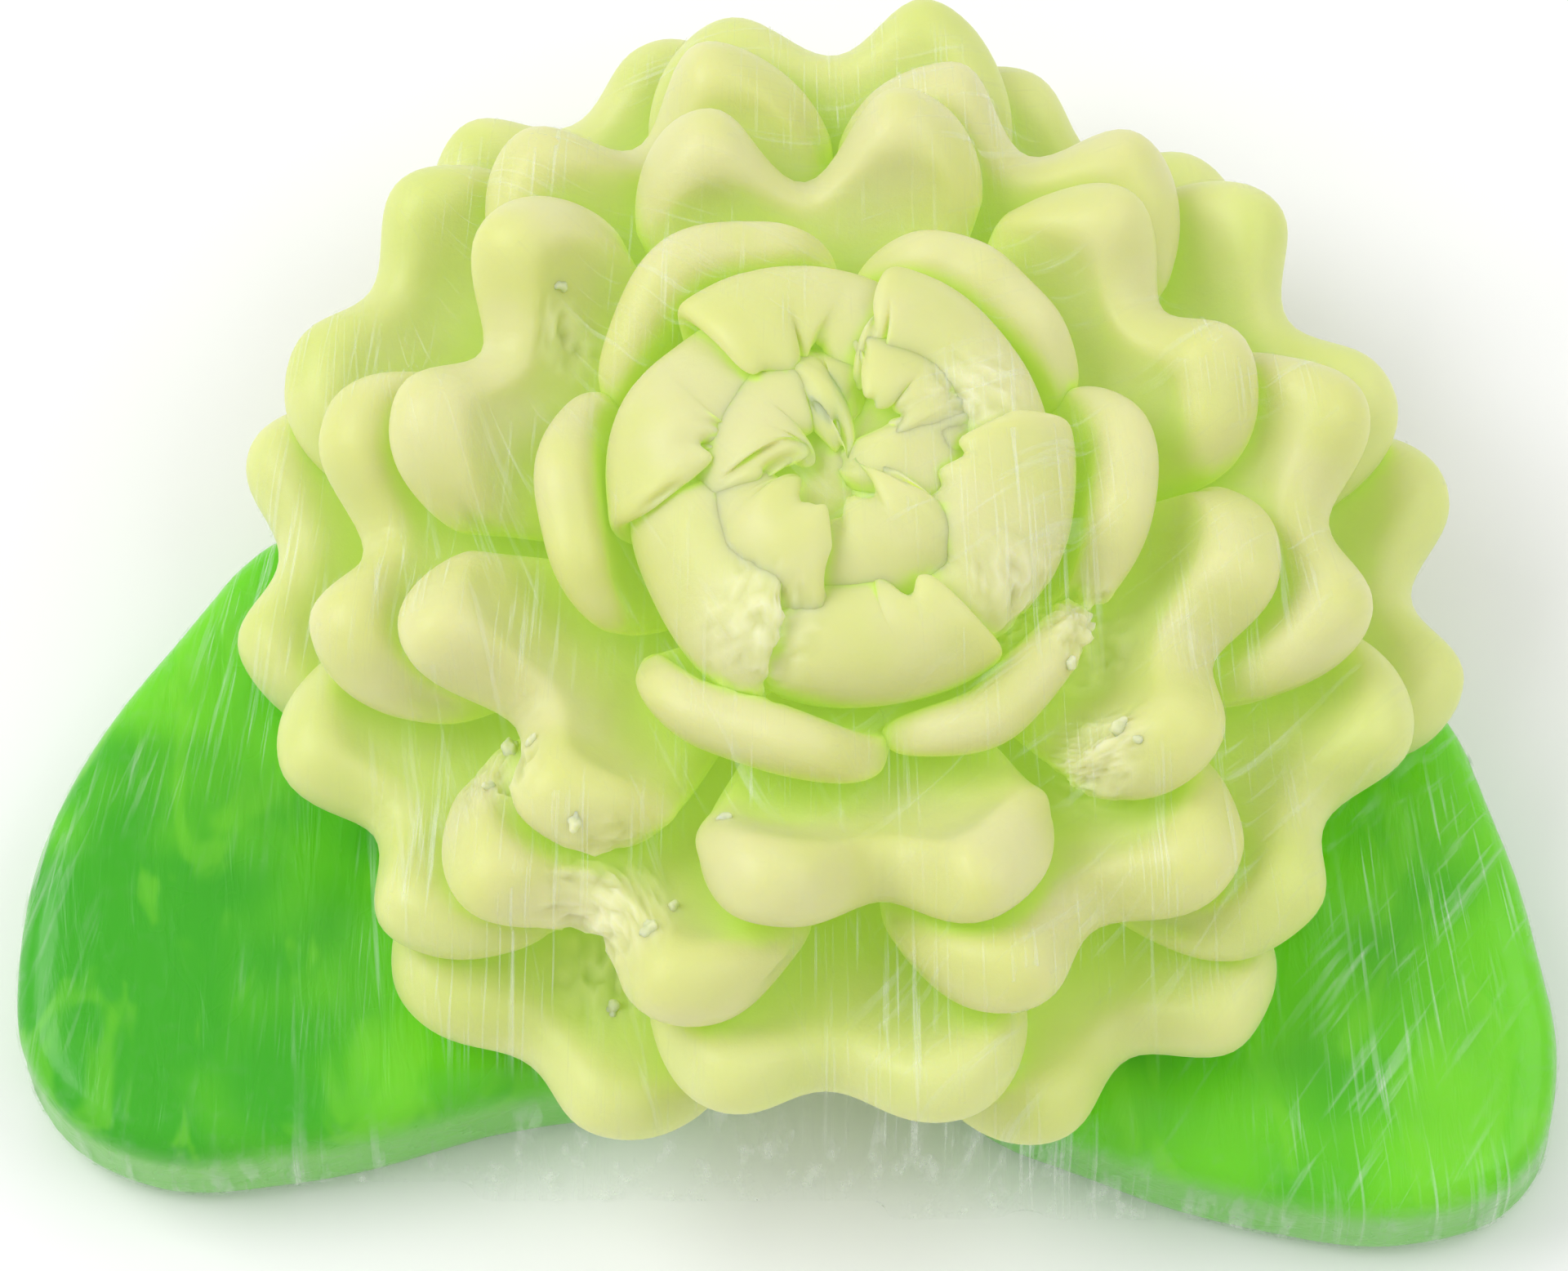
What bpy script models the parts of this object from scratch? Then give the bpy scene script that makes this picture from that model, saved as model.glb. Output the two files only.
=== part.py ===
"""A flower soap: thick petal plates in rings round a core, on two leaf-shaped slabs, under stretched cling film.

Every petal is the same idea: a flat plate with two rounded lobes, bent into the cup of its ring. A ring's cup is one
curve, from the petals' feet at the core to their rims, turned about the flower's axis. The cups nest with a small gap.
The frame: +Z up from the surface the soap stands on, the origin on the flower's axis, and the leaves towards -Y.
"""

import math
from collections import namedtuple

import bmesh
import bpy
from mathutils import Vector

MM = 0.001

# Core: the stem that all petals are pressed onto. It stands on its flat foot.
CORE_RADIUS = 9.4 * MM
CORE_FOOT_RADIUS = 13.0 * MM
CORE_WAIST_HEIGHT = 9.0 * MM
CORE_HEIGHT = 29.4 * MM
CORE_EDGE = 1.0 * MM
CORE_SIDES = 32

# Petal plates
LOBED_COLUMNS = 8
ARCHED_COLUMNS = 4
PLATE_ROWS = 3
FOOT_SHARE = 0.34  # a petal's width at its foot, as a share of its full width
FULL_WIDTH_AT = 0.6  # where along its length a petal has its full width
THICKENING_POWER = 2.1  # how late along its length a petal thickens
LOBE_CENTRE = 0.54  # a lobe's distance from the petal's middle, and its radius, as shares of the petal's half width
LOBE_RADIUS = 0.46
ARCH_POWER = 3.5  # how square the rim of a petal without lobes is
NEIGHBOUR_GAP = 0.35 * MM

# Leaves
LEAF_THICKNESS = 11.5 * MM
LEAF_EDGE = 2.4 * MM
LEAF_CURVE_STEPS = 4

# Cling film
FILM_THICKNESS = 0.3 * MM
FILM_CLEARANCE = 0.6 * MM
FILM_HEM_HEIGHT = 0.4 * MM

# One ring, in millimetres. Its cup is the curve of the plates' middle as four (radius, height) points: the foot, the two
# handles and the rim. Its petals have two lobes with a notch this deep between them, or with none an arched rim, whose
# shoulders lie this far down.
Ring = namedtuple("Ring", "name colour cup foot_thickness rim_thickness half_width notch shoulders petals")
# One petal: its direction and half of the sector that it may fill in degrees, then in millimetres what its reach adds
# to the ring's, what its notch adds, how much further its anticlockwise lobe reaches than its clockwise one, and how
# far its clockwise side is tucked in under its neighbour.
Petal = namedtuple("Petal", "azimuth fan reach notch lean tuck")

PALE_GREEN = (0.78, 0.80, 0.42)
YOUNG_GREEN = (0.72, 0.78, 0.36)

RINGS = (
    Ring(
        "skirt_petal", YOUNG_GREEN, ((9.9, 10.7), (19.1, 17.2), (33.8, 11.6), (47.6, 19.2)), 3.2, 7.0, 14.0, 3.6, 0.0,
        (
            Petal(-1, 28, 0.5, -0.2, -1.6, 0),
            Petal(61, 28, -1.6, 0.2, 0.6, 0),
            Petal(118, 28, 0.7, 0.0, -0.2, 0),
            Petal(177, 28, -1.1, 0.0, -0.3, 0),
            Petal(238, 28, 0.3, -1.0, -0.6, 0),
            Petal(300, 28, 1.0, 0.6, 0.6, 0),
        ),
    ),
    Ring(
        "lower_petal", YOUNG_GREEN, ((9.9, 14.1), (19.0, 20.4), (32.9, 17.1), (45.4, 25.2)), 3.2, 6.8, 14.0, 3.6, 0.0,
        (
            Petal(30, 27, -0.9, 0.6, 0.0, 0),
            Petal(91, 27, 0.8, -0.3, -1.0, 0),
            Petal(148, 27, 0.0, -0.8, -0.5, 0),
            Petal(212, 27, 0.0, 0.0, 1.4, 0),
            Petal(270, 27, 0.6, -0.6, -0.3, 0),
            Petal(330, 27, 1.0, 0.6, -1.6, 0),
        ),
    ),
    Ring(
        "middle_petal", PALE_GREEN, ((9.9, 17.5), (18.2, 23.8), (30.1, 22.2), (40.4, 31.4)), 3.2, 7.2, 14.0, 4.6, 0.0,
        (
            Petal(1, 26, 0.3, -0.4, -1.4, 0),
            Petal(65, 25, -1.2, -0.1, 0.8, 0),
            Petal(116, 25, 0.0, 0.4, 0.0, 0),
            Petal(181, 26, -0.2, 0.2, 0.8, 0),
            Petal(240, 26, 1.2, 0.5, 1.6, 0),
            Petal(302, 26, -0.2, -0.2, -1.6, 0),
        ),
    ),
    Ring(
        "upper_petal", PALE_GREEN, ((9.9, 21.0), (17.2, 26.8), (26.4, 27.2), (33.6, 36.4)), 3.2, 7.4, 13.6, 5.8, 0.0,
        (
            Petal(35, 28, -1.8, -1.0, 0.0, 0),
            Petal(95, 28, -0.6, 1.2, -1.2, 0),
            Petal(154, 28, 0.9, 0.5, -1.2, 0),
            Petal(215, 28, 1.0, 0.8, -0.8, 0),
            Petal(276, 28, 1.2, -0.4, -2.4, 0),
            Petal(337, 28, -0.5, -0.8, -0.8, 0),
        ),
    ),
    Ring(
        "collar_petal", PALE_GREEN, ((9.9, 24.5), (14.9, 29.0), (20.6, 29.4), (21.6, 36.8)), 3.0, 5.2, 12.2, 0.0, 1.6,
        (
            Petal(2, 27.5, 0.0, 0.0, 0.0, 0),
            Petal(57, 28.5, 0.0, 0.0, 0.8, 0),
            Petal(122, 31, 0.4, 0.0, 0.0, 0),
            Petal(182, 30.5, 0.6, 0.0, 0.0, 0),
            Petal(250, 31, 0.3, 0.0, 0.4, 0),
            Petal(308, 27.5, 0.2, 0.0, 0.0, 0),
        ),
    ),
    Ring(
        "bud_petal", PALE_GREEN, ((9.9, 29.6), (16.6, 30.8), (20.6, 43.2), (9.4, 40.0)), 3.0, 4.4, 12.4, 0.0, 0.0,
        (
            Petal(35, 32, 0.0, 0.0, 0.0, 1.8),
            Petal(92, 32.5, 0.0, 0.0, 0.0, 1.8),
            Petal(151, 33, 0.0, 0.0, 0.0, 1.8),
            Petal(209, 32.5, 0.0, 0.0, 0.0, 1.8),
            Petal(270, 35, 0.0, 0.0, 0.0, 1.8),
            Petal(333, 35, 0.0, 0.0, 0.0, 1.8),
        ),
    ),
    Ring(
        "heart_petal", PALE_GREEN, ((5.2, 32.0), (11.8, 32.2), (11.8, 43.2), (0.9, 41.0)), 3.0, 4.4, 8.4, 0.0, 0.0,
        (
            Petal(41, 29.5, 0.0, 0.0, 0.0, 0),
            Petal(96, 29.5, 0.0, 0.0, 0.0, 0),
            Petal(156, 35, 0.0, 0.0, 0.0, 0),
            Petal(221, 34, 0.0, 0.0, 0.0, 0),
            Petal(284, 33.5, 0.0, 0.0, 0.0, 0),
            Petal(345, 31, 0.0, 0.0, 0.0, 0),
        ),
    ),
)

# Outlines of the leaves on the surface, anticlockwise, in millimetres from the flower's axis.
LEFT_LEAF = (
    (-41, 8), (-52, -2), (-59, -13), (-62.5, -26), (-61.5, -37), (-54, -43.5),
    (-42, -43.7), (-27, -40), (-10, -34.5), (-8, -26), (-19, -12), (-29, 4),
)
RIGHT_LEAF = (
    (33, -3), (18, -14), (8, -28), (8.5, -37), (20, -43.5), (33, -47.6),
    (45, -48.4), (52.5, -45), (55, -37), (53.5, -27), (50.5, -16), (45.5, -6),
)


def clear_scene():
    for old in list(bpy.data.objects):
        bpy.data.objects.remove(old, do_unlink=True)


def make_collection(name):
    collection = bpy.data.collections.new(name)
    bpy.context.scene.collection.children.link(collection)
    return collection


def make_material(name, colour, roughness, alpha=1.0):
    material = bpy.data.materials.new(name)
    material.use_nodes = True
    shader = material.node_tree.nodes["Principled BSDF"]
    shader.inputs["Base Color"].default_value = (*colour, 1.0)
    shader.inputs["Roughness"].default_value = roughness
    shader.inputs["Metallic"].default_value = 0.0
    shader.inputs["Alpha"].default_value = alpha
    return material


def cup_point(handles, t):
    """The point at t, from 0 at the foot to 1 at the rim, of the cubic curve with these handles, and its direction."""
    a, b, c, d = handles
    s = 1 - t
    point = s**3 * a + 3 * s * s * t * b + 3 * s * t * t * c + t**3 * d
    direction = s * s * (b - a) + 2 * s * t * (c - b) + t * t * (d - c)
    return point, direction.normalized()


def rim_fall(ring, petal, u):
    """How far short of its full reach a petal ends at u, from -1 to 1 across it, in millimetres."""
    if not ring.notch:
        return ring.shoulders * (1 - (1 - abs(u) ** ARCH_POWER) ** (1 / ARCH_POWER))
    across = min(1, abs(abs(u) - LOBE_CENTRE) / LOBE_RADIUS)
    fall = ring.half_width * LOBE_RADIUS * (1 - math.sqrt(1 - across**2))
    return min(fall, ring.notch + petal.notch) if abs(u) < LOBE_CENTRE else fall


def plate_point(ring, petal, u, v):
    """Where the plate's point (u, v) lies, and how far along its cup: u runs from -1 to 1 across, v from 0 to 1 out."""
    foot, low_handle, high_handle, rim = (Vector(point) * MM for point in ring.cup)
    reach = (rim - high_handle).normalized() * (petal.reach + petal.lean / 2 * u) * MM
    along = v * (1 - rim_fall(ring, petal, u) * MM / (rim - foot).length)
    (radius, height), direction = cup_point((foot, low_handle, high_handle + reach, rim + reach), along)
    widening = math.sin(math.pi / 2 * min(1, v / FULL_WIDTH_AT))
    half_width = ring.half_width * MM * (FOOT_SHARE + (1 - FOOT_SHARE) * widening)
    half_sector = radius * math.radians(petal.fan) - NEIGHBOUR_GAP
    angle = math.radians(petal.azimuth) + u * min(half_width, half_sector) / radius
    tuck = petal.tuck * MM * u * widening
    radius += direction.y * tuck
    height -= direction.x * tuck
    return Vector((radius * math.cos(angle), radius * math.sin(angle), height)), along


def make_petal(name, ring, petal, collection, material):
    """A grid bent into the cup, thickened evenly to both sides, thinner at its foot, and rounded all over."""
    mesh = bpy.data.meshes.new(name)
    plate = bmesh.new()
    columns = LOBED_COLUMNS if ring.notch else ARCHED_COLUMNS
    bmesh.ops.create_grid(plate, x_segments=columns, y_segments=PLATE_ROWS, size=1.0)
    weights = plate.verts.layers.deform.verify()
    for vert in plate.verts:
        vert.co, along = plate_point(ring, petal, vert.co.x, (vert.co.y + 1) / 2)
        vert[weights][0] = along**THICKENING_POWER
    bmesh.ops.recalc_face_normals(plate, faces=plate.faces)
    plate.to_mesh(mesh)
    plate.free()
    mesh.materials.append(material)
    made = bpy.data.objects.new(name, mesh)
    collection.objects.link(made)
    made.vertex_groups.new(name="towards_rim")
    wall = made.modifiers.new("plate thickness", "SOLIDIFY")
    wall.thickness = ring.rim_thickness * MM
    wall.offset = 0.0
    wall.vertex_group = "towards_rim"
    wall.thickness_vertex_group = ring.foot_thickness / ring.rim_thickness
    smooth = made.modifiers.new("rounded all over", "SUBSURF")
    smooth.levels = smooth.render_levels = 1
    return made


def make_core(collection, material):
    """A turned stem with a wider foot, drawn from the top of its axis down its side to the axis again."""
    profile = (
        (0.0, CORE_HEIGHT),
        (CORE_RADIUS - 2 * CORE_EDGE, CORE_HEIGHT),
        (CORE_RADIUS, CORE_HEIGHT - 2 * CORE_EDGE),
        (CORE_RADIUS, CORE_WAIST_HEIGHT),
        (CORE_FOOT_RADIUS, CORE_EDGE),
        (CORE_FOOT_RADIUS - CORE_EDGE, 0.0),
        (0.0, 0.0),
    )
    mesh = bpy.data.meshes.new("flower_core")
    edges = [(i, i + 1) for i in range(len(profile) - 1)]
    mesh.from_pydata([(radius, 0.0, height) for radius, height in profile], edges, [])
    mesh.materials.append(material)
    core = bpy.data.objects.new("flower_core", mesh)
    collection.objects.link(core)
    turn = core.modifiers.new("turned", "SCREW")
    turn.steps = turn.render_steps = CORE_SIDES
    turn.use_merge_vertices = True
    turn.merge_threshold = 0.00001
    return core


def make_leaf(name, outline, collection, material):
    """A slab cut to a leaf's outline, with rounded edges, lying on the surface."""
    curve = bpy.data.curves.new(name, "CURVE")
    curve.dimensions = "2D"
    curve.fill_mode = "BOTH"
    curve.resolution_u = LEAF_CURVE_STEPS
    curve.bevel_depth = LEAF_EDGE
    curve.bevel_resolution = 1
    curve.offset = -LEAF_EDGE
    curve.extrude = LEAF_THICKNESS / 2 - LEAF_EDGE
    edge = curve.splines.new("BEZIER")
    edge.bezier_points.add(len(outline) - 1)
    edge.use_cyclic_u = True
    for point, (x, y) in zip(edge.bezier_points, outline):
        point.co = Vector((x, y, 0.0)) * MM
        point.handle_left_type = point.handle_right_type = "AUTO"
    curve.materials.append(material)
    leaf = bpy.data.objects.new(name, curve)
    leaf.location.z = LEAF_THICKNESS / 2
    collection.objects.link(leaf)
    return leaf


def corners_of(pieces):
    """All corners of the finished pieces, in world space."""
    bpy.context.view_layer.update()
    graph = bpy.context.evaluated_depsgraph_get()
    corners = []
    for piece in pieces:
        evaluated = piece.evaluated_get(graph)
        mesh = evaluated.to_mesh()
        corners += [evaluated.matrix_world @ vert.co for vert in mesh.vertices]
        evaluated.to_mesh_clear()
    return corners


def make_film(pieces, collection, material):
    """Film stretched over all the pieces: their convex skin, kept clear of them, open at the surface below."""
    skin = bmesh.new()
    for corner in corners_of(pieces):
        skin.verts.new((corner.x, corner.y, max(corner.z, FILM_HEM_HEIGHT)))
    bmesh.ops.convex_hull(skin, input=skin.verts)
    bmesh.ops.delete(skin, geom=[v for v in skin.verts if not v.link_faces], context="VERTS")
    bmesh.ops.dissolve_limit(
        skin, angle_limit=math.radians(4), verts=skin.verts, edges=skin.edges
    )
    bmesh.ops.triangulate(skin, faces=skin.faces)
    bmesh.ops.delete(skin, geom=[face for face in skin.faces if face.normal.z < -0.9], context="FACES")
    skin.normal_update()
    for vert in skin.verts:
        if vert.is_boundary:
            vert.co += Vector((vert.normal.x, vert.normal.y, 0)).normalized() * FILM_CLEARANCE
        else:
            vert.co += vert.normal * FILM_CLEARANCE
    mesh = bpy.data.meshes.new("cling_film")
    skin.to_mesh(mesh)
    skin.free()
    mesh.materials.append(material)
    film = bpy.data.objects.new("cling_film", mesh)
    collection.objects.link(film)
    wall = film.modifiers.new("film thickness", "SOLIDIFY")
    wall.thickness = FILM_THICKNESS
    wall.offset = 1.0
    return film


def main():
    clear_scene()
    collection = make_collection("flower_soap")
    soap = {
        PALE_GREEN: make_material("pale_soap", PALE_GREEN, 0.5),
        YOUNG_GREEN: make_material("outer_soap", YOUNG_GREEN, 0.5),
    }
    leaf_soap = make_material("clear_green_soap", (0.20, 0.62, 0.05), 0.15)
    film_plastic = make_material("clear_film", (0.95, 0.98, 0.95), 0.1, 0.1)
    pieces = [
        make_core(collection, soap[PALE_GREEN]),
        make_leaf("left_leaf", LEFT_LEAF, collection, leaf_soap),
        make_leaf("right_leaf", RIGHT_LEAF, collection, leaf_soap),
    ]
    for ring in RINGS:
        for number, petal in enumerate(ring.petals, start=1):
            pieces.append(make_petal(f"{ring.name}_{number}", ring, petal, collection, soap[ring.colour]))
    make_film(pieces, collection, film_plastic)


main()
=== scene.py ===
# %% [markdown]
# # A flower soap in cling film
# A soap maker presses thick petals, one ring after the other, round a core of opaque yellow-green soap. The flower
# lies on two leaves cut from clear green soap, and the whole is wrapped in cling film, which pulls tight over it.
# The CAD model already has each petal, leaf and the film as a plain solid in its place. This lesson gives them their
# looks. It starts by loading that model, which stays fixed.

# %% Load the fixed frame
import math

import bpy
import numpy as np
from mathutils import Matrix, Vector, noise
from mathutils.bvhtree import BVHTree


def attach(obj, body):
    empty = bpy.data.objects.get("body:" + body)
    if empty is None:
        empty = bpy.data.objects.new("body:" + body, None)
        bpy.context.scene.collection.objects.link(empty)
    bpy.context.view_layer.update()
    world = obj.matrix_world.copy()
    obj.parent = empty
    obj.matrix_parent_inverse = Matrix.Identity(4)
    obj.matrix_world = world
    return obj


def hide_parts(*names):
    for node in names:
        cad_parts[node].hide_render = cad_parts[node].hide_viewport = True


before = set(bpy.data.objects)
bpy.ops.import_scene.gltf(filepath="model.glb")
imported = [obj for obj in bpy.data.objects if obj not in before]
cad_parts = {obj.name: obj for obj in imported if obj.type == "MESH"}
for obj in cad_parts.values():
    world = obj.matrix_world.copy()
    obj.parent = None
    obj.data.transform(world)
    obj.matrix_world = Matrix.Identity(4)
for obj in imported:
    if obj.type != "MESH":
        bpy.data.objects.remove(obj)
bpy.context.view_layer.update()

MM = 0.001

# %% [markdown]
# ## The camera
# A steep view from the front shows the rings of petals as a rosette and still a little of each rim. A long lens from
# far away keeps the leaves in front from growing too large.

# %% Place the camera
VIEW_ELEVATION = math.radians(68)
VIEW_DISTANCE = 0.6
AIM_POINT = Vector((-0.0041, -0.0043, 0.0171))
away = Vector((0, -math.cos(VIEW_ELEVATION), math.sin(VIEW_ELEVATION)))
bpy.ops.object.camera_add(
    location=AIM_POINT + away * VIEW_DISTANCE, rotation=(math.pi / 2 - VIEW_ELEVATION, 0, 0)
)
camera = bpy.context.object
camera.data.lens = 180
camera.data.clip_start = 0.01
bpy.context.scene.camera = camera
print("camera at", [round(x, 3) for x in camera.location])

# %% [markdown]
# ## Tools for modelling
# An operator acts on all that is selected, so each step first selects its own object and nothing else. The petals
# of the CAD model are loose triangles. A copy whose doubles are merged and whose triangles are joined to quads
# again is a good cage for Subdivision Surface, which makes it as round as poured soap.


# %% Helpers that select, copy and finish objects
def only(*objects):
    """Selects these objects and nothing else, and makes the first one active."""
    bpy.ops.object.select_all(action="DESELECT")
    for one in objects:
        one.select_set(True)
    bpy.context.view_layer.objects.active = objects[0]


def apply_modifier(piece, kind, **settings):
    """Adds a modifier with these settings to a piece and applies it."""
    only(piece)
    modifier = piece.modifiers.new(kind.lower(), kind)
    for name, value in settings.items():
        setattr(modifier, name, value)
    bpy.ops.object.modifier_apply(modifier=modifier.name)


def copy_of_node(node, name):
    """A copy of a CAD node as a closed mesh of quads where its triangles pair up."""
    piece = bpy.data.objects.new(name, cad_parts[node].data.copy())
    bpy.context.scene.collection.objects.link(piece)
    piece.data.materials.clear()
    only(piece)
    bpy.ops.object.mode_set(mode="EDIT")
    bpy.ops.mesh.select_all(action="SELECT")
    bpy.ops.mesh.remove_doubles(threshold=0.01 * MM)
    bpy.ops.mesh.tris_convert_to_quads(face_threshold=math.radians(60), shape_threshold=math.radians(60))
    bpy.ops.object.mode_set(mode="OBJECT")
    return piece


def points_of(piece):
    """The places of a piece's corners as an array with one row each."""
    flat = np.empty(len(piece.data.vertices) * 3, np.float32)
    piece.data.vertices.foreach_get("co", flat)
    return flat.reshape(-1, 3).astype(float)


def move_points(piece, points):
    piece.data.vertices.foreach_set("co", np.asarray(points, np.float32).ravel())
    piece.data.update()


def smooth_shading(piece):
    only(piece)
    bpy.ops.object.shade_smooth()


def tree_of(pieces):
    """All faces of the pieces in one search tree, which answers where a ray hits and what lies nearest."""
    corners, faces = [], []
    for piece in pieces:
        first = len(corners)
        corners += [vertex.co.copy() for vertex in piece.data.vertices]
        faces += [[first + corner for corner in face.vertices] for face in piece.data.polygons]
    return BVHTree.FromPolygons(corners, faces)


# %% [markdown]
# ## The rings of petals
# On the real flower each petal is a thick plate that starts thin at the core, swings out and up, and ends in a fat,
# round rim with two lobes. A plate like that can be bent from a flat grid: across, the grid's lines follow the
# petal's width, and outwards they follow a cubic curve, the cup. The CAD model uses the same cups with fewer points,
# so the numbers here are in millimetres from its axis, but the finer grid leaves room for beads, folds and torn rims.

# %% Describe the rings
# Each ring: the cup's four (radius, height) points, the thickness at the foot and at the rim, half of the width, the
# depth of the notch between the lobes, and how far the rim of a petal without lobes falls at its sides.
RINGS = {
    "skirt_petal": (((9.9, 10.7), (19.1, 17.2), (34.4, 10.9), (47.4, 18.6)), 3.2, 7.2, 14.3, 3.9, 0.0),
    "lower_petal": (((9.9, 14.1), (19.0, 20.4), (33.8, 16.2), (44.9, 25.0)), 3.2, 7.2, 14.3, 4.0, 0.0),
    "middle_petal": (((9.9, 17.5), (18.2, 23.8), (31.2, 21.0), (39.6, 31.6)), 3.2, 7.8, 14.3, 5.0, 0.0),
    "upper_petal": (((9.9, 21.0), (17.2, 26.8), (28.0, 25.8), (32.4, 36.6)), 3.2, 8.2, 13.8, 5.6, 0.0),
    "collar_petal": (((9.9, 24.5), (14.9, 29.0), (20.4, 28.6), (21.3, 37.6)), 3.0, 6.2, 13.0, 0.0, 6.0),
    "bud_petal": (((9.9, 29.6), (16.6, 30.8), (20.2, 42.2), (8.8, 40.0)), 2.6, 3.4, 16.0, 0.0, 1.6),
    "heart_petal": (((5.2, 32.0), (12.2, 32.2), (11.4, 42.3), (2.4, 40.9)), 2.6, 3.4, 10.0, 0.0, 1.4),
}
# Each petal: its direction and half of its sector in degrees, what its reach adds to the ring's and its notch to the
# ring's, how much further its anticlockwise lobe reaches, and how far its clockwise side is tucked in.
PETALS = {
    "skirt_petal": ((-1, 28, 0.5, -0.2, -1.6, 0), (61, 28, -1.6, 0.2, 0.6, 0), (118, 28, 0.7, 0.0, -0.2, 0),
                    (177, 28, -1.1, 0.0, -0.3, 0), (238, 28, 0.3, -1.0, -0.6, 0), (300, 28, 1.0, 0.6, 0.6, 0)),
    "lower_petal": ((30, 27, -0.9, 0.6, 0.0, 0), (91, 27, 0.8, -0.3, -1.0, 0), (148, 27, 0.0, -0.8, -0.5, 0),
                    (212, 27, 0.0, 0.0, 1.4, 0), (270, 27, 0.6, -0.6, -0.3, 0), (330, 27, 1.0, 0.6, -1.6, 0)),
    "middle_petal": ((1, 26, 0.3, -0.4, -1.4, 0), (65, 25, -1.2, -0.1, 0.8, 0), (116, 25, 0.0, 0.4, 0.0, 0),
                     (181, 26, -0.2, 0.2, 0.8, 0), (240, 26, 1.2, 0.5, 1.6, 0), (302, 26, -0.2, -0.2, -1.6, 0)),
    "upper_petal": ((35, 28, -1.8, -1.0, 0.0, 0), (95, 28, -0.6, 1.2, -1.2, 0), (154, 28, 0.9, 0.5, -1.2, 0),
                    (215, 28, 1.0, 0.8, -0.8, 0), (276, 28, 1.2, -0.4, -2.4, 0), (337, 28, -0.5, -0.8, -0.8, 0)),
    "collar_petal": ((2, 27.5, 0.0, 0.0, 0.0, 0), (57, 28.5, 0.0, 0.0, 0.8, 0), (122, 31, 0.4, 0.0, 0.0, 0),
                     (182, 30.5, 0.6, 0.0, 0.0, 0), (250, 31, 0.3, 0.0, 0.4, 0), (308, 27.5, 0.2, 0.0, 0.0, 0)),
    "bud_petal": ((35, 41, 0.6, 0.0, 0.8, 1.6), (92, 40, 0.2, 0.0, -0.6, 1.6), (151, 41, 0.8, 0.0, 1.0, 1.6),
                  (209, 43, 1.6, 0.0, -0.8, 1.8), (270, 43, -0.2, 0.0, 0.4, 1.6), (333, 43, 0.4, 0.0, 0.6, 1.6)),
    "heart_petal": ((41, 38, -1.4, 0.0, 1.2, 1.3), (96, 34, 0.6, 0.0, -1.2, 0.9), (156, 46, -0.6, 0.0, 1.6, 1.2),
                    (221, 46, -2.4, 0.0, -0.6, 1.1), (284, 46, -1.0, 0.0, 1.4, 1.3), (345, 42, 0.6, 0.0, -1.2, 1.0)),
}
print("petals in each ring:", {ring: len(petals_of_ring) for ring, petals_of_ring in PETALS.items()})

# %% [markdown]
# ## Bending a petal
# The plate gets its thickness from Solidify. A vertex group sets how thick it is at each point: thin at the foot,
# fat towards the rim, and falling to nothing at the very edge along a quarter circle, so that the edge is as round
# as a finger. The grid's lines are closer together there. Noise makes each rim wave up and down and in and out in
# its own way, and on the bud, whose petals are thinner, it also crinkles the edge.

# %% A petal bent from a grid
FOOT_SHARE = 0.34
FULL_WIDTH_AT = 0.6
THICKENING_POWER = 2.8
LOBE_CENTRE = 0.54
LOBE_RADIUS = 0.46
EDGE_THICKNESS = 0.12
FOLD_SIZE = 8.5 * MM
FOLD_REACH = 1.6 * MM
RIM_WAVE = 0.9
CRINKLE = 0.9
END_TAPER = 0.45
SIDE_WAVE = {"bud_petal": 3.2 * MM, "heart_petal": 3.0 * MM, "collar_petal": 1.5 * MM}


def cup_point(handles, t):
    """The point at t, from 0 at the foot to 1 at the rim, of the cubic curve with these handles, and its direction."""
    a, b, c, d = handles
    s = 1 - t
    point = s**3 * a + 3 * s * s * t * b + 3 * s * t * t * c + t**3 * d
    direction = s * s * (b - a) + 2 * s * t * (c - b) + t * t * (d - c)
    return point, direction.normalized()


def rim_fall(u, half_width, notch, shoulders, seed):
    """How far short of its full reach a petal ends at u, from -1 to 1 across it, in millimetres."""
    wave = noise.noise((u * 2.2, seed, 0.5)) * RIM_WAVE
    if notch == 0:
        crinkle = noise.fractal((u * 4.5, seed, 3.5), 0.7, 2.1, 2) * CRINKLE if shoulders < 2 else 0
        return shoulders * (1 - math.sqrt(max(0, 1 - abs(u) ** 2.3))) + wave + crinkle
    if abs(u) < LOBE_CENTRE:
        return notch * (0.5 + 0.5 * math.cos(math.pi * u / LOBE_CENTRE)) ** 1.2 + wave
    across = min(1, (abs(u) - LOBE_CENTRE) / LOBE_RADIUS)
    return half_width * LOBE_RADIUS * (1 - math.sqrt(1 - across**2)) + wave


def rounded(distance, radius):
    """The share of its full thickness that a plate with a round edge has at this distance from the edge."""
    inwards = min(1, max(0, distance / radius))
    return EDGE_THICKNESS + (1 - EDGE_THICKNESS) * math.sqrt(1 - (1 - inwards) ** 2)


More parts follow.
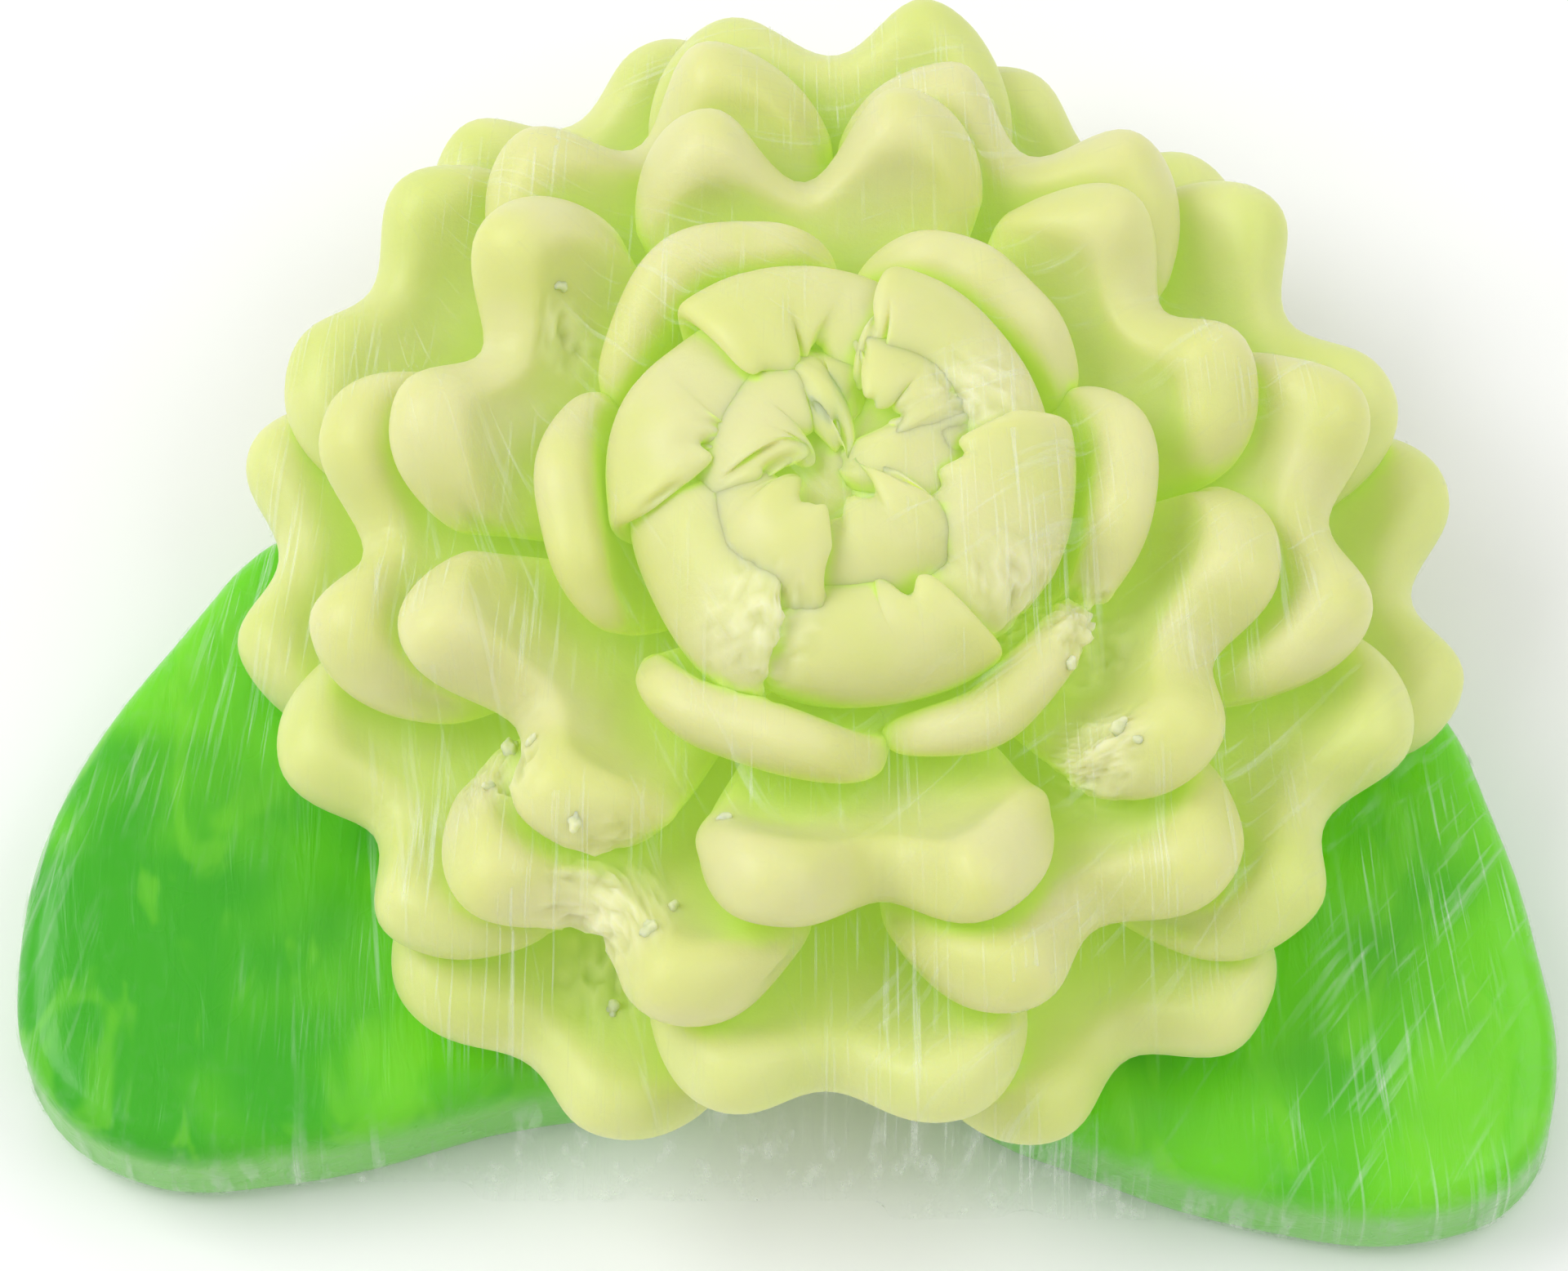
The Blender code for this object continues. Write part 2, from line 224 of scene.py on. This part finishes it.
def bend_petal(name, ring, petal, seed, wavy, columns=26, rows=16):
    cup, foot_thickness, rim_thickness, half_width, notch, shoulders = ring
    azimuth, fan, reach, more_notch, lean, tuck = petal
    bpy.ops.object.select_all(action="DESELECT")
    bpy.ops.mesh.primitive_grid_add(x_subdivisions=columns, y_subdivisions=rows, size=2)
    plate = bpy.context.object
    plate.name = name
    foot, low_handle, high_handle, rim = (Vector(point) * MM for point in cup)
    group = plate.vertex_groups.new(name="thickness")
    bent = []
    for i, vertex in enumerate(plate.data.vertices):
        u = math.sin(math.pi / 2 * vertex.co.x)
        v = 1 - (1 - (vertex.co.y + 1) / 2) ** 1.7
        longer = (rim - high_handle).normalized() * (reach + lean / 2 * u) * MM
        length = (rim - foot).length
        fall = rim_fall(u, half_width, notch + more_notch if notch else 0, shoulders, seed) * MM
        along = v * (1 - fall / length)
        (radius, height), direction = cup_point((foot, low_handle, high_handle + longer, rim + longer), along)
        widening = math.sin(math.pi / 2 * min(1, v / FULL_WIDTH_AT))
        wide = half_width * MM * (FOOT_SHARE + (1 - FOOT_SHARE) * widening)
        wide = min(wide, radius * math.radians(fan))
        angle = math.radians(azimuth) + u * wide / radius
        if wavy:
            angle += noise.noise((v * 3.0, u * 1.5, seed + 2.5)) * wavy * along / radius
        aside = tuck * MM * u * widening
        fold = noise.noise((u * wide / FOLD_SIZE, v * length / FOLD_SIZE * 0.6, seed + 0.5)) * FOLD_REACH * along
        radius += direction.y * (aside + fold)
        height -= direction.x * (aside + fold)
        bent.append(Vector((radius * math.cos(angle), radius * math.sin(angle), height)))
        thick = foot_thickness + (rim_thickness - foot_thickness) * along**THICKENING_POWER
        if notch == 0:
            thick *= 1 - END_TAPER * u * u
        edge = rounded((1 - abs(u)) * wide, 0.5 * thick * MM) * rounded((1 - v) * length, 0.5 * thick * MM)
        group.add([i], thick / rim_thickness * edge, "REPLACE")
    move_points(plate, bent)
    apply_modifier(plate, "SOLIDIFY", thickness=rim_thickness * MM, offset=0.0, vertex_group="thickness")
    plate.vertex_groups.clear()
    only(plate)
    bpy.ops.object.mode_set(mode="EDIT")
    bpy.ops.mesh.select_all(action="SELECT")
    bpy.ops.mesh.normals_make_consistent(inside=False)
    bpy.ops.object.mode_set(mode="OBJECT")
    return plate


petals = {}
for kind, ring in RINGS.items():
    for number, petal in enumerate(PETALS[kind], start=1):
        node = f"{kind}_{number}"
        seed = 10 * number + 3 * list(RINGS).index(kind)
        petals[node] = bend_petal(f"soap_{node}", ring, petal, seed, SIDE_WAVE.get(kind, 0))
print("corners of a petal before rounding:", len(petals["skirt_petal_1"].data.vertices))

# %% [markdown]
# ## The bud's kernel
# Under its petals the bud is solid. A squashed and dented ball fills it, so that no gap between them looks black.
# It starts as an icosphere, whose faces are even all over, without the poles of a UV sphere.

# %% Fill the bud
bpy.ops.object.select_all(action="DESELECT")
bpy.ops.mesh.primitive_ico_sphere_add(subdivisions=5, radius=1.0, location=(0, 0, 33.5 * MM))
kernel = bpy.context.object
kernel.name = "soap_kernel"
kernel.scale = (12.6 * MM, 12.6 * MM, 6.6 * MM)
bpy.ops.object.transform_apply(location=True, rotation=True, scale=True)
move_points(
    kernel,
    [vertex.co + vertex.normal * noise.noise(vertex.co / (3 * MM)) * 0.7 * MM for vertex in kernel.data.vertices],
)
print("kernel corners:", len(kernel.data.vertices))

# %% [markdown]
# ## How open each corner is
# Soap lets light through, and what reaches the bottom of a crevice has passed through petals and turned green. That
# light, and the shade in the crevices, are painted into the petals' colour. For that colour, rays go out from every
# corner in all directions, and the share that meets nothing nearby is stored as an attribute, which Subdivision
# Surface then spreads over the finer mesh.

# %% Measure how open the petals are, and round them
OPEN_RAYS = 32
OPEN_REACH = 13 * MM
LIFT_OFF = 0.3 * MM


def spread_directions(count):
    """Directions over a half sphere about +Z, closer together towards its top, on a golden spiral."""
    made = []
    for i in range(count):
        height = math.sqrt(1 - (i + 0.5) / count)
        turn = i * math.pi * (3 - math.sqrt(5))
        flat = math.sqrt(1 - height * height)
        made.append(Vector((flat * math.cos(turn), flat * math.sin(turn), height)))
    return made


def measure_openness(piece, tree, directions):
    """Stores, for each corner of a piece, the share of rays from it that meet nothing nearby."""
    values = []
    for vertex in piece.data.vertices:
        turn = vertex.normal.to_track_quat("Z", "Y")
        start = vertex.co + vertex.normal * LIFT_OFF
        clear = sum(tree.ray_cast(start, turn @ way, OPEN_REACH)[0] is None for way in directions)
        values.append(clear / len(directions))
    attribute = piece.data.attributes.new("openness", "FLOAT", "POINT")
    attribute.data.foreach_set("value", np.array(values, np.float32))


leaves = {node: copy_of_node(node, f"soap_{node}") for node in ("left_leaf", "right_leaf")}
surroundings = tree_of([*petals.values(), *leaves.values(), kernel])
open_ways = spread_directions(OPEN_RAYS)
measure_openness(kernel, surroundings, open_ways)
smooth_shading(kernel)
for petal in petals.values():
    measure_openness(petal, surroundings, open_ways)
    apply_modifier(petal, "SUBSURF", levels=1, render_levels=1)
    smooth_shading(petal)
print("corners in all petals:", sum(len(petal.data.vertices) for petal in petals.values()))

# %% [markdown]
# ## Torn edges
# Where the maker pinched the soft soap off, rims are crumbly. In those places a finer and rougher noise pushes the
# surface in and out along its normals.

# %% Roughen the torn places
TORN_PLACES = ((-17, -31, 5.5, 1.1), (19, -20, 4.0, 0.9), (-25, -21, 3.5, 0.8), (18.5, -10.5, 4.0, 0.9),
               (-20.5, 14, 3.0, 0.8), (13, -9, 4.0, 0.7), (-6, -13, 5.0, 0.6), (10, 6, 4.0, 0.6))
TORN_GRAIN = 1.3 * MM


def roughen(piece):
    """Pushes a piece's surface in and out near the torn places, and stores how torn it is there."""
    torn = []
    moved = []
    for vertex in piece.data.vertices:
        share, depth = 0.0, 0.0
        for x, y, radius, reach in TORN_PLACES:
            distance = math.hypot(vertex.co.x - x * MM, vertex.co.y - y * MM) / (radius * MM)
            fade = max(0.0, 1 - distance) ** 0.7
            share, depth = max(share, fade), max(depth, fade * reach * MM)
        grain = noise.fractal(vertex.co / TORN_GRAIN, 0.7, 2.2, 3, noise_basis="PERLIN_NEW") if share else 0.0
        torn.append(share * min(1, max(0, 0.5 + grain)))
        moved.append(vertex.co + vertex.normal * (grain - 0.15) * depth)
    attribute = piece.data.attributes.new("torn", "FLOAT", "POINT")
    attribute.data.foreach_set("value", np.array(torn, np.float32))
    move_points(piece, moved)


for petal in petals.values():
    roughen(petal)
print("torn places:", len(TORN_PLACES))

# %% [markdown]
# ## Leaves
# The leaves were cut from a poured slab, so their tops are nearly flat and their edges soft. A voxel remesh gives
# even quads all over the CAD solid, and smoothing rounds the cut edges. A shallow, broad noise keeps the top from
# being a perfect plane.

# %% Soften the leaves
LEAF_VOXEL = 0.8 * MM
LEAF_WAVE_SIZE = 17 * MM
LEAF_WAVE_REACH = 0.55 * MM


def soften_leaf(leaf):
    apply_modifier(leaf, "REMESH", mode="VOXEL", voxel_size=LEAF_VOXEL)
    apply_modifier(leaf, "SMOOTH", iterations=8, factor=0.5)
    moved = []
    for vertex in leaf.data.vertices:
        lift = min(1, vertex.co.z / (4 * MM))
        wave = noise.noise(vertex.co / LEAF_WAVE_SIZE, noise_basis="PERLIN_NEW") * LEAF_WAVE_REACH
        moved.append(vertex.co + vertex.normal * (wave - 0.2 * MM) * lift)
    move_points(leaf, moved)
    smooth_shading(leaf)


for leaf in leaves.values():
    soften_leaf(leaf)
print("corners in the leaves:", [len(leaf.data.vertices) for leaf in leaves.values()])

# %% [markdown]
# ## Crumbs
# A few soap crumbs cling to the petals near the torn places. Each is a small ball, squashed and dented, dropped from
# above until it meets the soap. The crumbs are joined into one piece.

# %% Drop crumbs on the petals
CRUMB_SPOTS = ((-24.5, -17.5, 1.0), (-22.8, -19.2, 0.7), (-19.5, -26.5, 0.8), (-14.0, -33.5, 0.9), (-12.2, -31.0, 0.6),
               (20.5, -18.8, 0.8), (22.0, -20.0, 0.5), (-8.5, -25.5, 0.6), (-21.0, 17.5, 0.6), (17.0, -14.0, 0.6),
               (-26.0, -21.5, 0.6), (-17.0, -35.0, 0.7))
soap_top = tree_of(petals.values())


def drop_crumb(x, y, size):
    hit, normal, _, _ = soap_top.ray_cast(Vector((x * MM, y * MM, 0.1)), Vector((0, 0, -1)))
    bpy.ops.mesh.primitive_ico_sphere_add(subdivisions=3, radius=size * MM, location=hit)
    crumb = bpy.context.object
    crumb.scale = (1.0, 0.7, 0.5)
    crumb.rotation_euler = (normal.y, -normal.x, x * y)
    bpy.ops.object.transform_apply(location=True, rotation=True, scale=True)
    dents = [
        vertex.co + vertex.normal * noise.noise(vertex.co / (0.6 * MM)) * 0.5 * size * MM
        for vertex in crumb.data.vertices
    ]
    move_points(crumb, dents)
    return crumb


crumb_balls = [drop_crumb(*spot) for spot in CRUMB_SPOTS]
only(*crumb_balls)
bpy.ops.object.join()
crumbs = bpy.context.object
crumbs.name = "soap_crumbs"
for name, share in (("openness", 1.0), ("torn", 0.6)):
    even = crumbs.data.attributes.new(name, "FLOAT", "POINT")
    even.data.foreach_set("value", np.full(len(crumbs.data.vertices), share, np.float32))
bpy.ops.object.transform_apply(location=True, rotation=True, scale=True)
smooth_shading(crumbs)
print("crumbs:", len(crumb_balls))

# %% [markdown]
# ## Cling film
# Stretched film spans from one high point to the next like a convex skin, and then draws in a little between
# them. So the film starts as the convex hull of the soap. Then it is relaxed in small steps: each corner moves
# towards the middle of its neighbours, as tension makes it, and a little inwards, and the soap pushes it out again
# where it would sink in. The underside, where the film is gathered, is open.

# %% Stretch the film over the soap
FILM_VOXEL = 1.5 * MM
FILM_GAP = 0.3 * MM
FILM_STEPS = 36
FILM_PULL = 0.16 * MM
FILM_HEM = 0.5 * MM

hull_parts = [copy_of_node(node, f"hull_{node}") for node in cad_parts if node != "cling_film"]
only(*hull_parts)
bpy.ops.object.join()
film = bpy.context.object
film.name = "film_wrap"
bpy.ops.object.mode_set(mode="EDIT")
bpy.ops.mesh.select_all(action="SELECT")
bpy.ops.mesh.convex_hull()
bpy.ops.object.mode_set(mode="OBJECT")
apply_modifier(film, "REMESH", mode="VOXEL", voxel_size=FILM_VOXEL)
only(film)
bpy.ops.object.mode_set(mode="EDIT")
bpy.ops.mesh.select_all(action="DESELECT")
bpy.ops.object.mode_set(mode="OBJECT")
for face in film.data.polygons:
    face.select = face.normal.z < -0.9 and face.center.z < 3 * MM
bpy.ops.object.mode_set(mode="EDIT")
bpy.ops.mesh.select_mode(type="FACE")
bpy.ops.mesh.delete(type="FACE")
bpy.ops.object.mode_set(mode="OBJECT")

soap_tree = tree_of([*petals.values(), *leaves.values()])
edge_ends = np.array([edge.vertices[:] for edge in film.data.edges])
edge_uses = np.zeros(len(film.data.edges), int)
for face in film.data.polygons:
    for loop in face.loop_indices:
        edge_uses[film.data.loops[loop].edge_index] += 1
hem_points = np.unique(edge_ends[edge_uses == 1])
neighbours = np.bincount(edge_ends.ravel(), minlength=len(film.data.vertices))


def middle_of_neighbours(points):
    total = np.zeros_like(points)
    np.add.at(total, edge_ends[:, 0], points[edge_ends[:, 1]])
    np.add.at(total, edge_ends[:, 1], points[edge_ends[:, 0]])
    return total / neighbours[:, None]


def keep_clear(points):
    """Moves each point that is nearer to the soap than the film's gap, or inside it, out to that gap."""
    for i, point in enumerate(points):
        near, normal, _, _ = soap_tree.find_nearest(Vector(point), 6 * MM)
        if near is None:
            continue
        height = (Vector(point) - near).dot(normal)
        if height < FILM_GAP:
            points[i] = near + normal * FILM_GAP
    return points


film_points = points_of(film)
pinned = film_points[hem_points].copy()
pinned[:, 2] = FILM_HEM
for step in range(FILM_STEPS):
    move_points(film, film_points)
    normals = np.array([vertex.normal[:] for vertex in film.data.vertices])
    film_points = 0.5 * film_points + 0.5 * middle_of_neighbours(film_points) - normals * FILM_PULL
    film_points[:, 2] = np.maximum(film_points[:, 2], FILM_HEM)
    film_points = keep_clear(film_points)
    film_points[hem_points] = pinned
move_points(film, film_points)
apply_modifier(film, "SUBSURF", levels=1, render_levels=1)
smooth_shading(film)
print("corners in the film:", len(film.data.vertices))

# %% [markdown]
# ## Tools for materials
# A finish is built in Python as it would be in the shader editor. A small class wraps a node's socket so that sums
# such as `1 - mask` add their Math nodes, and one method makes every other kind of node.


# %% A socket that works in sums, and a finish that makes nodes
class Value:
    """A socket of a finish. A sum with it adds a Math node and gives that node's socket."""

    def __init__(self, finish, socket):
        self.finish = finish
        self.socket = socket

    def _sum(self, operation, first, second):
        return self.finish.node("ShaderNodeMath", {"operation": operation}, {0: first, 1: second})

    def __add__(self, other):
        return self._sum("ADD", self, other)

    def __sub__(self, other):
        return self._sum("SUBTRACT", self, other)

    def __rsub__(self, other):
        return self._sum("SUBTRACT", other, self)

    def __mul__(self, other):
        return self._sum("MULTIPLY", self, other)

    def __truediv__(self, other):
        return self._sum("DIVIDE", self, other)

    def __pow__(self, other):
        return self._sum("POWER", self, other)

    __radd__ = __add__
    __rmul__ = __mul__


class Finish:
    """A material whose Principled shader starts with these even values on its own sockets."""

    def __init__(self, name, **even):
        self.material = bpy.data.materials.new(name)
        self.material.use_nodes = True
        self.tree = self.material.node_tree
        self.shader = self.tree.nodes["Principled BSDF"]
        for socket, value in even.items():
            self.shader.inputs[socket.replace("_", " ")].default_value = value

    def join(self, value, socket):
        if isinstance(value, Value):
            self.tree.links.new(value.socket, socket)
        else:
            socket.default_value = value

    def node(self, kind, settings=None, inputs=None, output=0):
        """Makes a node, sets its settings first and then its inputs, and gives one of its outputs."""
        made = self.tree.nodes.new(kind)
        for name, value in (settings or {}).items():
            setattr(made, name, value)
        for name, value in (inputs or {}).items():
            self.join(value, made.inputs[name])
        return Value(self, made.outputs[output])

    def place(self, scale=(1, 1, 1), turn=0.0, shift=(0, 0, 0)):
        """Object coordinates, moved, turned about Z and scaled."""
        here = self.node("ShaderNodeTexCoord", output="Object")
        return self.node(
            "ShaderNodeMapping", {"vector_type": "POINT"},
            {"Vector": here, "Location": shift, "Rotation": (0, 0, turn), "Scale": scale},
        )

    def noise(self, at, size, detail=3.0, roughness=0.5, distortion=0.0):
        """A grey noise whose bumps are about this size, in metres, when at isn't scaled."""
        return self.node(
            "ShaderNodeTexNoise", {},
            {"Vector": at, "Scale": 1 / size, "Detail": detail, "Roughness": roughness, "Distortion": distortion},
        )

    def between(self, value, low, high):
        """0 where value is at most low and 1 where it is at least high, with a smooth rise between them."""
        return self.node(
            "ShaderNodeMapRange", {"interpolation_type": "SMOOTHSTEP", "clamp": True},
            {"Value": value, "From Min": low, "From Max": high},
        )

    def mix(self, share, first, second):
        """The first colour where share is 0 and the second where it is 1."""
        return self.node(
            "ShaderNodeMix", {"data_type": "RGBA"}, {0: share, 6: first, 7: second}, output=2
        )

    def attribute(self, name):
        return self.node("ShaderNodeAttribute", {"attribute_name": name}, output="Fac")

    def bump(self, height, depth):
        return self.node("ShaderNodeBump", {}, {"Height": height, "Distance": depth, "Strength": 1.0})

    def wear(self, *pieces):
        for piece in pieces:
            piece.data.materials.clear()
            piece.data.materials.append(self.material)


def paint(red, green, blue):
    """A colour that is given in the usual 0 to 255 steps, as the linear values that shaders take."""
    steps = (red / 255, green / 255, blue / 255)
    return (*(step / 12.92 if step <= 0.04045 else ((step + 0.055) / 1.055) ** 2.4 for step in steps), 1.0)


# %% [markdown]
# ## Opaque soap
# The petals are waxy. Light enters them a few millimetres deep, so the shader scatters it below the surface. The
# colour goes from a clear yellow-green at the bottom of the crevices, painted shade with a faint painted glow, to a
# pale cream green on the open lobes. Broad, faint clouds and a fine waxy grain keep it from looking like plastic,
# and torn places are paler and rougher.

# %% Make the soap of the petals
PALE_SOAP = paint(221, 221, 162)
BROAD_SOAP = paint(217, 221, 142)
# Painted shade: the clear yellow-green that crevices take where little light reaches.
CREVICE_SHADE_SOAP = paint(200, 220, 114)
TORN_SOAP = paint(244, 243, 204)
# Painted light: a faint green glow given off in the crevices, as if light came through the petals.
PAINTED_GLOW = (92, 108, 34)


def petal_soap(name, pale, broad, deep):
    soap = Finish(
        name,
        Subsurface_Weight=0.7,
        Subsurface_Radius=(1.0, 0.85, 0.3),
        Subsurface_Scale=3 * MM,
        Specular_IOR_Level=0.35,
    )
    here = soap.place()
    clouds = soap.noise(here, 11 * MM, detail=2)
    grain = soap.noise(here, 1.1 * MM, detail=4, roughness=0.6)
    opened = soap.between(soap.attribute("openness") + (clouds - 0.5) * 0.15, 0.0, 0.7)
    torn = soap.attribute("torn")
    colour = soap.mix(soap.between(clouds, 0.35, 0.65), pale, broad)
    # Painted shade: the less open a corner is, the more it takes the crevice colour.
    colour = soap.mix(1 - opened, colour, deep)
    colour = soap.mix(torn * 0.7, colour, TORN_SOAP)
    soap.join(colour, soap.shader.inputs["Base Color"])
    # Painted light: the less open a corner is, the more it glows green.
    painted_glow = soap.mix(opened, paint(*PAINTED_GLOW), (0, 0, 0, 1))
    soap.join(painted_glow, soap.shader.inputs["Emission Color"])
    soap.shader.inputs["Emission Strength"].default_value = 1.0
    soap.join(0.42 + (grain - 0.5) * 0.2 + torn * 0.25, soap.shader.inputs["Roughness"])
    height = soap.noise(here, 4.5 * MM, detail=2) * 0.6 + grain * 0.12
    soap.join(soap.bump(height, 0.35 * MM), soap.shader.inputs["Normal"])
    return soap


inner_soap = petal_soap("pale_soap", PALE_SOAP, BROAD_SOAP, CREVICE_SHADE_SOAP)
# The outer petals have their own colours; the last is their painted crevice shade.
outer_soap = petal_soap("outer_soap", paint(220, 226, 150), paint(212, 222, 134), paint(196, 218, 110))
for node, petal in petals.items():
    (outer_soap if node.startswith(("skirt", "lower")) else inner_soap).wear(petal)
inner_soap.wear(crumbs, kernel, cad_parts["flower_core"])
print("soaps:", inner_soap.material.name, outer_soap.material.name)

# %% [markdown]
# ## Clear green soap
# The leaves are glycerine soap: light goes deep into it and comes back a bright, saturated green. The tops have
# broad, soft darker and brighter zones of painted shade, and stretched patches of a lighter green are painted light
# caught by crumpled film. The cut sides are painted paler and a little cooler, for the light that they let out. The
# film lies right on the tops, so its gloss is added here as a coat with fine, stretched creases.

# %% Make the soap of the leaves
leaf_soap = Finish(
    "leaf_soap",
    Subsurface_Weight=0.35,
    Subsurface_Radius=(0.3, 1.0, 0.1),
    Subsurface_Scale=3 * MM,
    Specular_IOR_Level=0.3,
    Coat_Weight=0.15,
    Coat_Roughness=0.12,
)
here = leaf_soap.place()
depth = leaf_soap.noise(here, 20 * MM, detail=2)
patches = leaf_soap.noise(leaf_soap.place(scale=(1, 0.4, 1), turn=0.3), 6 * MM, detail=3, distortion=0.8)
height_of_point = leaf_soap.node("ShaderNodeSeparateXYZ", {}, {0: here}, output="Z")
on_top = leaf_soap.between(height_of_point, 7.5 * MM, 10.5 * MM)
# Painted shade: broad, soft zones where the green is darker.
green = leaf_soap.mix(leaf_soap.between(depth, 0.38, 0.62), paint(54, 174, 0), paint(112, 214, 12))
# Painted light: stretched, lighter patches, where crumpled film catches the light.
green = leaf_soap.mix(leaf_soap.between(patches, 0.52, 0.62) * 0.35, green, paint(132, 222, 40))
# Painted light: the cut sides, below the top, are paler and cooler, for the light that they let out.
green = leaf_soap.mix(1 - on_top, green, paint(112, 198, 66))
leaf_soap.join(green, leaf_soap.shader.inputs["Base Color"])
leaf_soap.join(0.2 + patches * 0.15, leaf_soap.shader.inputs["Roughness"])
creases = leaf_soap.noise(leaf_soap.place(scale=(1, 0.22, 1), turn=0.35), 2.2 * MM, detail=3, distortion=1.5)
leaf_soap.join(leaf_soap.bump(creases, 0.12 * MM), leaf_soap.shader.inputs["Normal"])
leaf_soap.wear(*leaves.values())
print("leaf finish:", leaf_soap.material.name)

# %% [markdown]
# ## The film's finish
# Clean film is nearly invisible. What shows are creases: thin whitish streaks that run the way the film was pulled.
# Their white is partly the creases' own haze and partly painted highlights, for the light that the creases catch.
# A fan of streaks is a noise on polar coordinates: it changes fast with the angle about the point from which the
# film was pulled, and slowly with the distance from it. Broad noise breaks the streaks up into patches.

# %% Make the film
film_finish = Finish("clear_film", Roughness=0.12, Specular_IOR_Level=0.35)
film_finish.shader.inputs["Base Color"].default_value = (0.92, 0.97, 0.9, 1)


def streaks(centre, width, low, high, turn=0.0):
    """Streaks of painted highlight that fan out from a centre, given in millimetres, this wide as an angle in degrees.
    """
    at = film_finish.place(shift=(-centre[0] * MM, -centre[1] * MM, 0))
    x = film_finish.node("ShaderNodeSeparateXYZ", {}, {0: at}, output="X")
    y = film_finish.node("ShaderNodeSeparateXYZ", {}, {0: at}, output="Y")
    angle = film_finish.node("ShaderNodeMath", {"operation": "ARCTAN2"}, {0: x, 1: y})
    radius = film_finish.node("ShaderNodeVectorMath", {"operation": "LENGTH"}, {0: at}, output="Value")
    polar = film_finish.node(
        "ShaderNodeCombineXYZ", {}, {"X": angle / math.radians(width), "Y": radius / (14 * MM), "Z": turn}
    )
    lines = film_finish.noise(polar, 1.0, detail=3, roughness=0.6, distortion=0.25)
    return film_finish.between(lines, low, high)


patchy = film_finish.noise(film_finish.place(), 16 * MM, detail=2)
patch = film_finish.between(patchy, 0.42, 0.66)
far_patch = film_finish.between(patchy, 0.36, 0.6)
here = film_finish.place()
low_down = 1 - film_finish.between(film_finish.node("ShaderNodeSeparateXYZ", {}, {0: here}, output="Z"), 3 * MM, 13 * MM)
rightward = film_finish.between(film_finish.node("ShaderNodeSeparateXYZ", {}, {0: here}, output="X"), -8 * MM, 8 * MM)
upright = streaks((-4, 260), 0.10, 0.53, 0.72)
gathered = film_finish.noise(film_finish.place(scale=(1, 1, 0.15)), 1.6 * MM, detail=3, roughness=0.6)
hem_creases = film_finish.between(gathered, 0.5, 0.7) * low_down * 0.3
left_fan = streaks((-38, 34), 1.0, 0.54, 0.72, turn=4.0)
right_fan = streaks((110, 60), 0.5, 0.54, 0.72, turn=9.0)
# The film's alpha: a faint haze all over, more of it low down where the film gathers, and painted highlights along the
# streaks and the hem's creases.
haze_and_painted_glints = 0.012 + upright * patch * 0.34 + (left_fan * (1 - rightward) + right_fan * rightward) * far_patch * 0.2 + low_down * 0.03 + hem_creases
film_finish.join(haze_and_painted_glints, film_finish.shader.inputs["Alpha"])
wrinkles = film_finish.noise(film_finish.place(scale=(1, 0.3, 1), turn=0.4), 2.5 * MM, detail=2, distortion=1.0)
film_finish.join(film_finish.bump(wrinkles, 0.4 * MM), film_finish.shader.inputs["Normal"])
film_finish.wear(film)
print("film finish:", film_finish.material.name)

# %% [markdown]
# ## Put the pieces on the body
# Every piece rides on the one body, and the CAD node that it replaces is hidden. The crumbs and the kernel have
# no node of their own.

for node, piece in {**petals, **leaves}.items():
    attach(piece, "root")
    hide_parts(node)
for piece in (crumbs, kernel):
    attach(piece, "root")
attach(film, "root")
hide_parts("cling_film")
print("pieces declared:", len(petals) + len(leaves) + 2)

# %% [markdown]
# ## Floor and light
# The soap lies on a plain white table in very even light, as in a light tent: a bright surrounding, one large soft
# lamp from above and behind on the left, and a weaker one from above on the right.

# %% Set the stage
bpy.ops.mesh.primitive_plane_add(size=6, location=(0, 0, 0))
floor = bpy.context.object
floor.name = "floor"
floor_finish = Finish("white_table", Roughness=0.8, Specular_IOR_Level=0.1)
floor_finish.shader.inputs["Base Color"].default_value = (0.96, 0.96, 0.96, 1)
floor_finish.wear(floor)

bpy.context.scene.world = bpy.data.worlds.new("light_tent")
bpy.context.scene.world.use_nodes = True
tent = bpy.context.scene.world.node_tree.nodes["Background"]
tent.inputs["Color"].default_value = (1.0, 1.0, 1.0, 1)
tent.inputs["Strength"].default_value = 0.66


def soft_lamp(name, place, size, power):
    bpy.ops.object.light_add(type="AREA", location=place)
    lamp = bpy.context.object
    lamp.name = name
    lamp.data.size = size
    lamp.data.energy = power
    lamp.rotation_euler = (AIM_POINT - Vector(place)).to_track_quat("-Z", "Y").to_euler()
    return lamp


soft_lamp("left_lamp", (-0.5, 0.1, 0.6), 0.5, 2.8)
soft_lamp("right_lamp", (0.5, 0.0, 0.6), 0.6, 1.4)
bpy.context.scene.view_settings.view_transform = "Standard"
print("floor and two lamps")
